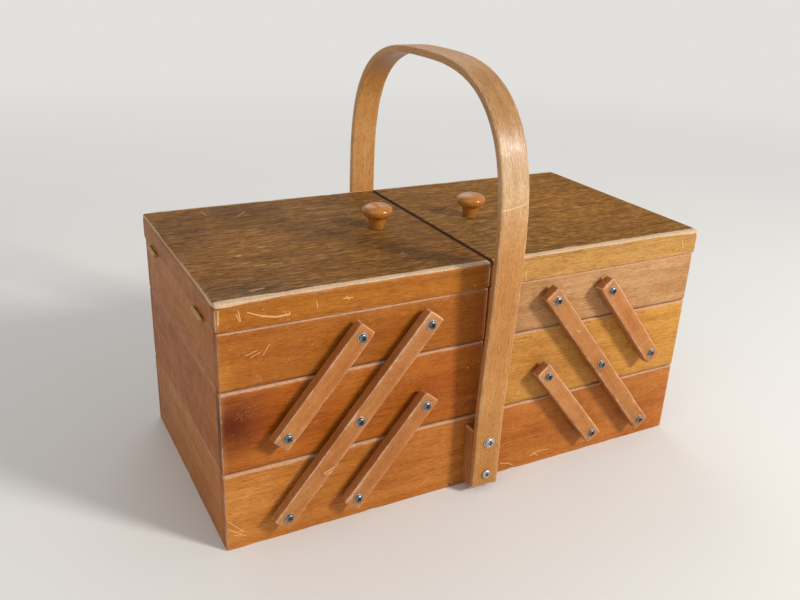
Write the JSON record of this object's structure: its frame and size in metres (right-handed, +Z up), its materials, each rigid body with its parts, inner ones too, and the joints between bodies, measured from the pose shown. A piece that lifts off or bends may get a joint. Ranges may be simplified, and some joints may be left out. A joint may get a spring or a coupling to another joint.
{
  "type": "sewing box with trays",
  "caption": "Wooden cantilever sewing box: trays on parallel arms open to both sides over a full-length bottom box, with hinged lids, turned knobs and a bent-wood strap handle.",
  "frame": {"origin": "on the floor under the middle of the closed box, at the bottom centre of its bounding box", "axes": "+X along the front to the right, +Y from the front to the back, +Z up"},
  "size_m": [0.4486, 0.2644, 0.3513],
  "materials": {
    "stained_wood": "stained and varnished, satin, worn at the edges",
    "lid_veneer": "stained oak-like veneer, satin, scratched",
    "plywood": "bare birch plywood, matt",
    "arm_wood": "stained beech, satin",
    "handle_beech": "steam-bent beech, satin varnish",
    "knob_beech": "turned beech, glossy varnish",
    "steel": "plated steel, lightly tarnished",
    "brass": "plain brass, lightly tarnished"
  },
  "bodies": {
    "bottom_box": {"bottom_box_back": "stained_wood", "bottom_box_base": "plywood", "bottom_box_front": "stained_wood", "bottom_box_left_end": "stained_wood", "bottom_box_right_end": "stained_wood", "handle_screw_back_lower": "steel", "handle_screw_back_upper": "steel", "handle_screw_front_lower": "steel", "handle_screw_front_upper": "steel", "handle_spacer_back": "arm_wood", "handle_spacer_front": "arm_wood", "handle_strip": "handle_beech"},
    "left_lid": {"left_hinge_back_lid_leaf": "brass", "left_hinge_front_lid_leaf": "brass", "left_knob": "knob_beech", "left_knob_screw": "steel", "left_lid_panel": "lid_veneer", "left_lid_rim": "stained_wood"},
    "left_top_tray": {"left_hinge_back_tray_leaf": "brass", "left_hinge_front_tray_leaf": "brass", "left_top_tray_back": "stained_wood", "left_top_tray_base": "plywood", "left_top_tray_front": "stained_wood", "left_top_tray_inner_end": "stained_wood", "left_top_tray_outer_end": "stained_wood"},
    "left_long_arms": {"left_long_arm_back": "arm_wood", "left_long_arm_front": "arm_wood"},
    "left_lower_arms": {"left_lower_arm_back": "arm_wood", "left_lower_arm_front": "arm_wood"},
    "left_middle_tray": {"left_middle_tray_back": "stained_wood", "left_middle_tray_base": "plywood", "left_middle_tray_front": "stained_wood", "left_middle_tray_inner_end": "stained_wood", "left_middle_tray_outer_end": "stained_wood"},
    "left_upper_arms": {"left_upper_arm_back": "arm_wood", "left_upper_arm_front": "arm_wood"},
    "right_lid": {"right_hinge_back_lid_leaf": "brass", "right_hinge_front_lid_leaf": "brass", "right_knob": "knob_beech", "right_knob_screw": "steel", "right_lid_panel": "lid_veneer", "right_lid_rim": "stained_wood"},
    "right_top_tray": {"right_hinge_back_tray_leaf": "brass", "right_hinge_front_tray_leaf": "brass", "right_top_tray_back": "stained_wood", "right_top_tray_base": "plywood", "right_top_tray_front": "stained_wood", "right_top_tray_inner_end": "stained_wood", "right_top_tray_outer_end": "stained_wood"},
    "right_long_arms": {"right_long_arm_back": "arm_wood", "right_long_arm_front": "arm_wood"},
    "right_lower_arms": {"right_lower_arm_back": "arm_wood", "right_lower_arm_front": "arm_wood"},
    "right_middle_tray": {"right_middle_tray_back": "stained_wood", "right_middle_tray_base": "plywood", "right_middle_tray_front": "stained_wood", "right_middle_tray_inner_end": "stained_wood", "right_middle_tray_outer_end": "stained_wood"},
    "right_upper_arms": {"right_upper_arm_back": "arm_wood", "right_upper_arm_front": "arm_wood"}
  },
  "joints": [
    {"name": "left_trays_open", "type": "hinge", "parent": "bottom_box", "child": "left_long_arms", "pos_m": [-0.1745, 0, 0.026], "axis": [0, -1, 0], "range_deg": [0, 79.28]},
    {"name": "left_lower_arms_swing", "type": "hinge", "parent": "bottom_box", "child": "left_lower_arms", "pos_m": [-0.117, 0, 0.026], "axis": [0, -1, 0], "range_deg": [0, 79.28]},
    {"name": "left_middle_tray_level", "type": "hinge", "parent": "left_long_arms", "child": "left_middle_tray", "pos_m": [-0.117, 0, 0.096], "axis": [0, -1, 0], "range_deg": [-79.28, 0]},
    {"name": "left_top_tray_level", "type": "hinge", "parent": "left_long_arms", "child": "left_top_tray", "pos_m": [-0.0595, 0, 0.166], "axis": [0, -1, 0], "range_deg": [-79.28, 0]},
    {"name": "left_upper_arms_swing", "type": "hinge", "parent": "left_middle_tray", "child": "left_upper_arms", "pos_m": [-0.1745, 0, 0.096], "axis": [0, -1, 0], "range_deg": [0, 79.28]},
    {"name": "left_lid_opens", "type": "hinge", "parent": "left_top_tray", "child": "left_lid", "pos_m": [-0.2226, 0, 0.182], "axis": [0, -1, 0], "range_deg": [0, 180]},
    {"name": "right_trays_open", "type": "hinge", "parent": "bottom_box", "child": "right_long_arms", "pos_m": [0.1745, 0, 0.026], "axis": [0, 1, 0], "range_deg": [0, 79.28]},
    {"name": "right_lower_arms_swing", "type": "hinge", "parent": "bottom_box", "child": "right_lower_arms", "pos_m": [0.117, 0, 0.026], "axis": [0, 1, 0], "range_deg": [0, 79.28]},
    {"name": "right_middle_tray_level", "type": "hinge", "parent": "right_long_arms", "child": "right_middle_tray", "pos_m": [0.117, 0, 0.096], "axis": [0, 1, 0], "range_deg": [-79.28, 0]},
    {"name": "right_top_tray_level", "type": "hinge", "parent": "right_long_arms", "child": "right_top_tray", "pos_m": [0.0595, 0, 0.166], "axis": [0, 1, 0], "range_deg": [-79.28, 0]},
    {"name": "right_upper_arms_swing", "type": "hinge", "parent": "right_middle_tray", "child": "right_upper_arms", "pos_m": [0.1745, 0, 0.096], "axis": [0, 1, 0], "range_deg": [0, 79.28]},
    {"name": "right_lid_opens", "type": "hinge", "parent": "right_top_tray", "child": "right_lid", "pos_m": [0.2226, 0, 0.182], "axis": [0, 1, 0], "range_deg": [0, 180]}
  ],
  "couplings": [
    {"joint": "left_lower_arms_swing", "follows": "left_trays_open", "ratio": 1},
    {"joint": "left_middle_tray_level", "follows": "left_trays_open", "ratio": -1},
    {"joint": "left_top_tray_level", "follows": "left_trays_open", "ratio": -1},
    {"joint": "left_upper_arms_swing", "follows": "left_trays_open", "ratio": 1},
    {"joint": "right_lower_arms_swing", "follows": "right_trays_open", "ratio": 1},
    {"joint": "right_middle_tray_level", "follows": "right_trays_open", "ratio": -1},
    {"joint": "right_top_tray_level", "follows": "right_trays_open", "ratio": -1},
    {"joint": "right_upper_arms_swing", "follows": "right_trays_open", "ratio": 1}
  ]
}
